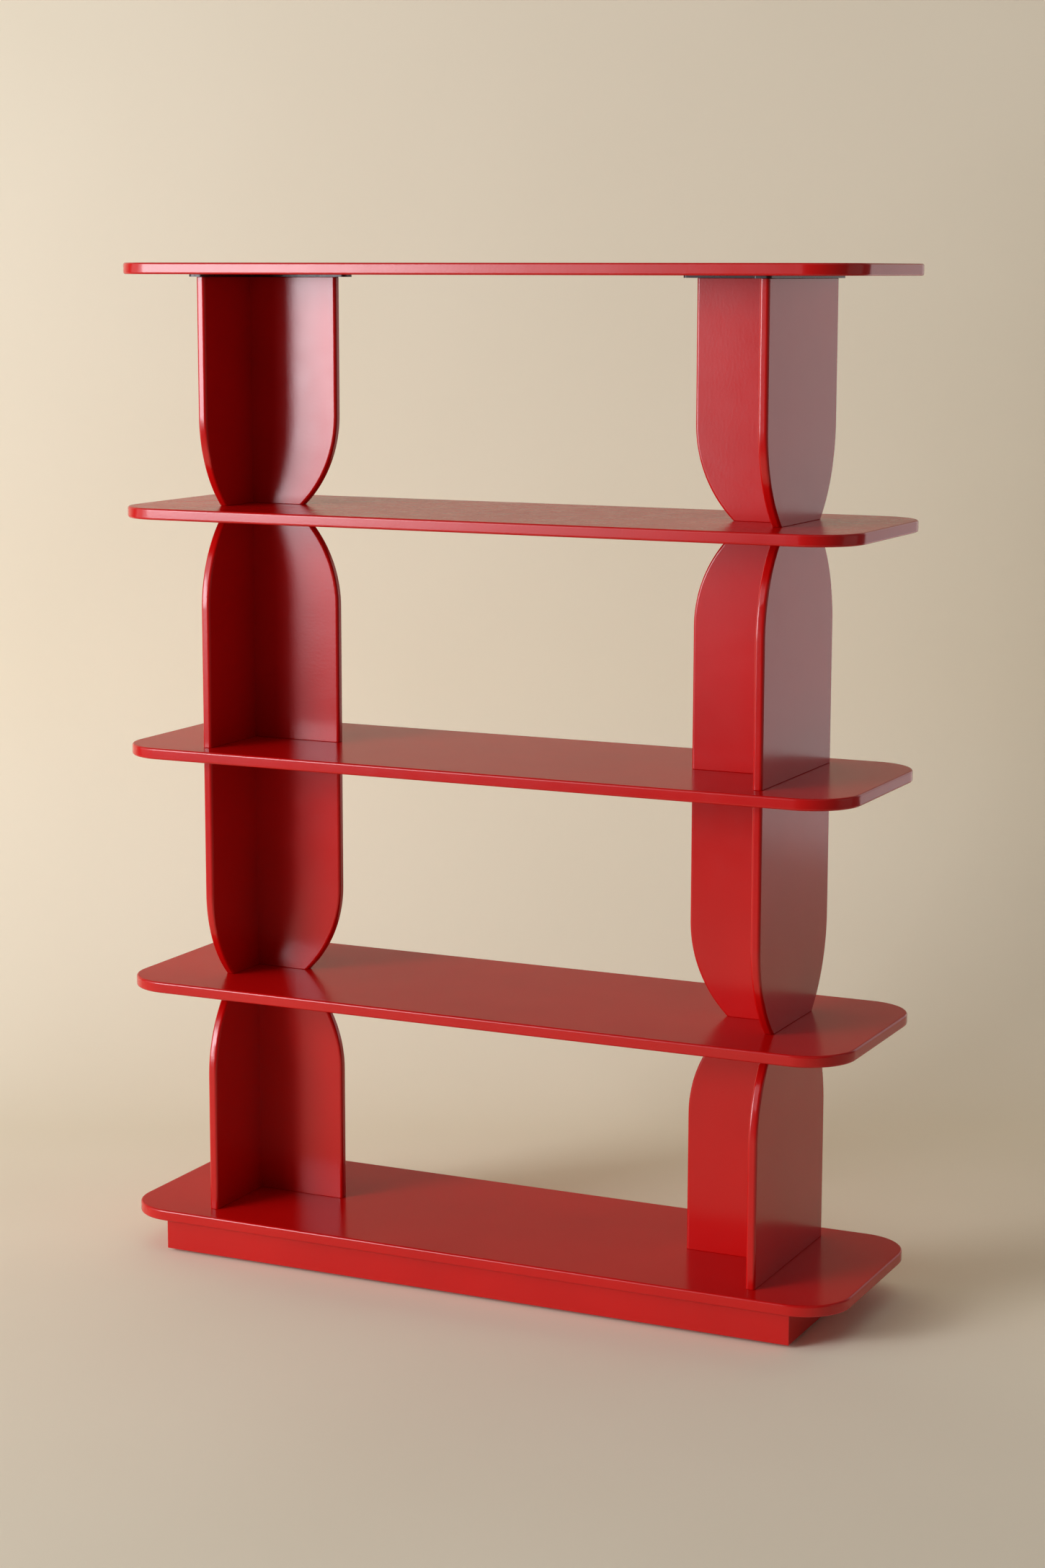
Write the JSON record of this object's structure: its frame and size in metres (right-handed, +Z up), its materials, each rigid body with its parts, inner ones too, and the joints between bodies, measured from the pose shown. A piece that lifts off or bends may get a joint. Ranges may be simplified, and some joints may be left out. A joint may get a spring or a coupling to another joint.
{
  "type": "etagere shelf unit",
  "caption": "Tall open lacquered shelf unit with rounded boards on T-shaped uprights and a recessed plinth, for books and display.",
  "frame": {"origin": "on the floor under the middle of the unit", "axes": "+Z up, +X along the shelves to the right as seen from the front, the front faces -Y"},
  "size_m": [1.32, 0.408, 1.7102],
  "materials": {
    "red_lacquer": "satin red lacquer sprayed over fibreboard",
    "black_steel": "satin black powder coat",
    "black_screw": "black oxide",
    "zinc_steel": "zinc plated",
    "insert_brass": "turned",
    "bare_wood": "unfinished",
    "glide_plastic": "matte"
  },
  "bodies": {
    "root": {"base_bolts": "zinc_steel", "glides": "glide_plastic", "plate_screws": "black_screw", "plinth_back_rail": "red_lacquer", "plinth_centre_brace": "bare_wood", "plinth_corner_blocks": "bare_wood", "plinth_front_rail": "red_lacquer", "plinth_left_rail": "red_lacquer", "plinth_right_rail": "red_lacquer", "plinth_screws": "zinc_steel", "shelf_1": "red_lacquer", "shelf_2": "red_lacquer", "shelf_3": "red_lacquer", "shelf_4": "red_lacquer", "shelf_5": "red_lacquer", "side_panel_1_left": "red_lacquer", "side_panel_1_right": "red_lacquer", "side_panel_2_left": "red_lacquer", "side_panel_2_right": "red_lacquer", "side_panel_3_left": "red_lacquer", "side_panel_3_right": "red_lacquer", "side_panel_4_left": "red_lacquer", "side_panel_4_right": "red_lacquer", "threaded_inserts": "insert_brass", "tie_studs": "zinc_steel", "top_plate_left": "black_steel", "top_plate_right": "black_steel", "top_shelf_screws": "black_screw", "web_dowels": "bare_wood", "web_panel_1_left": "red_lacquer", "web_panel_1_right": "red_lacquer", "web_panel_2_left": "red_lacquer", "web_panel_2_right": "red_lacquer", "web_panel_3_left": "red_lacquer", "web_panel_3_right": "red_lacquer", "web_panel_4_left": "red_lacquer", "web_panel_4_right": "red_lacquer"}
  },
  "joints": []
}
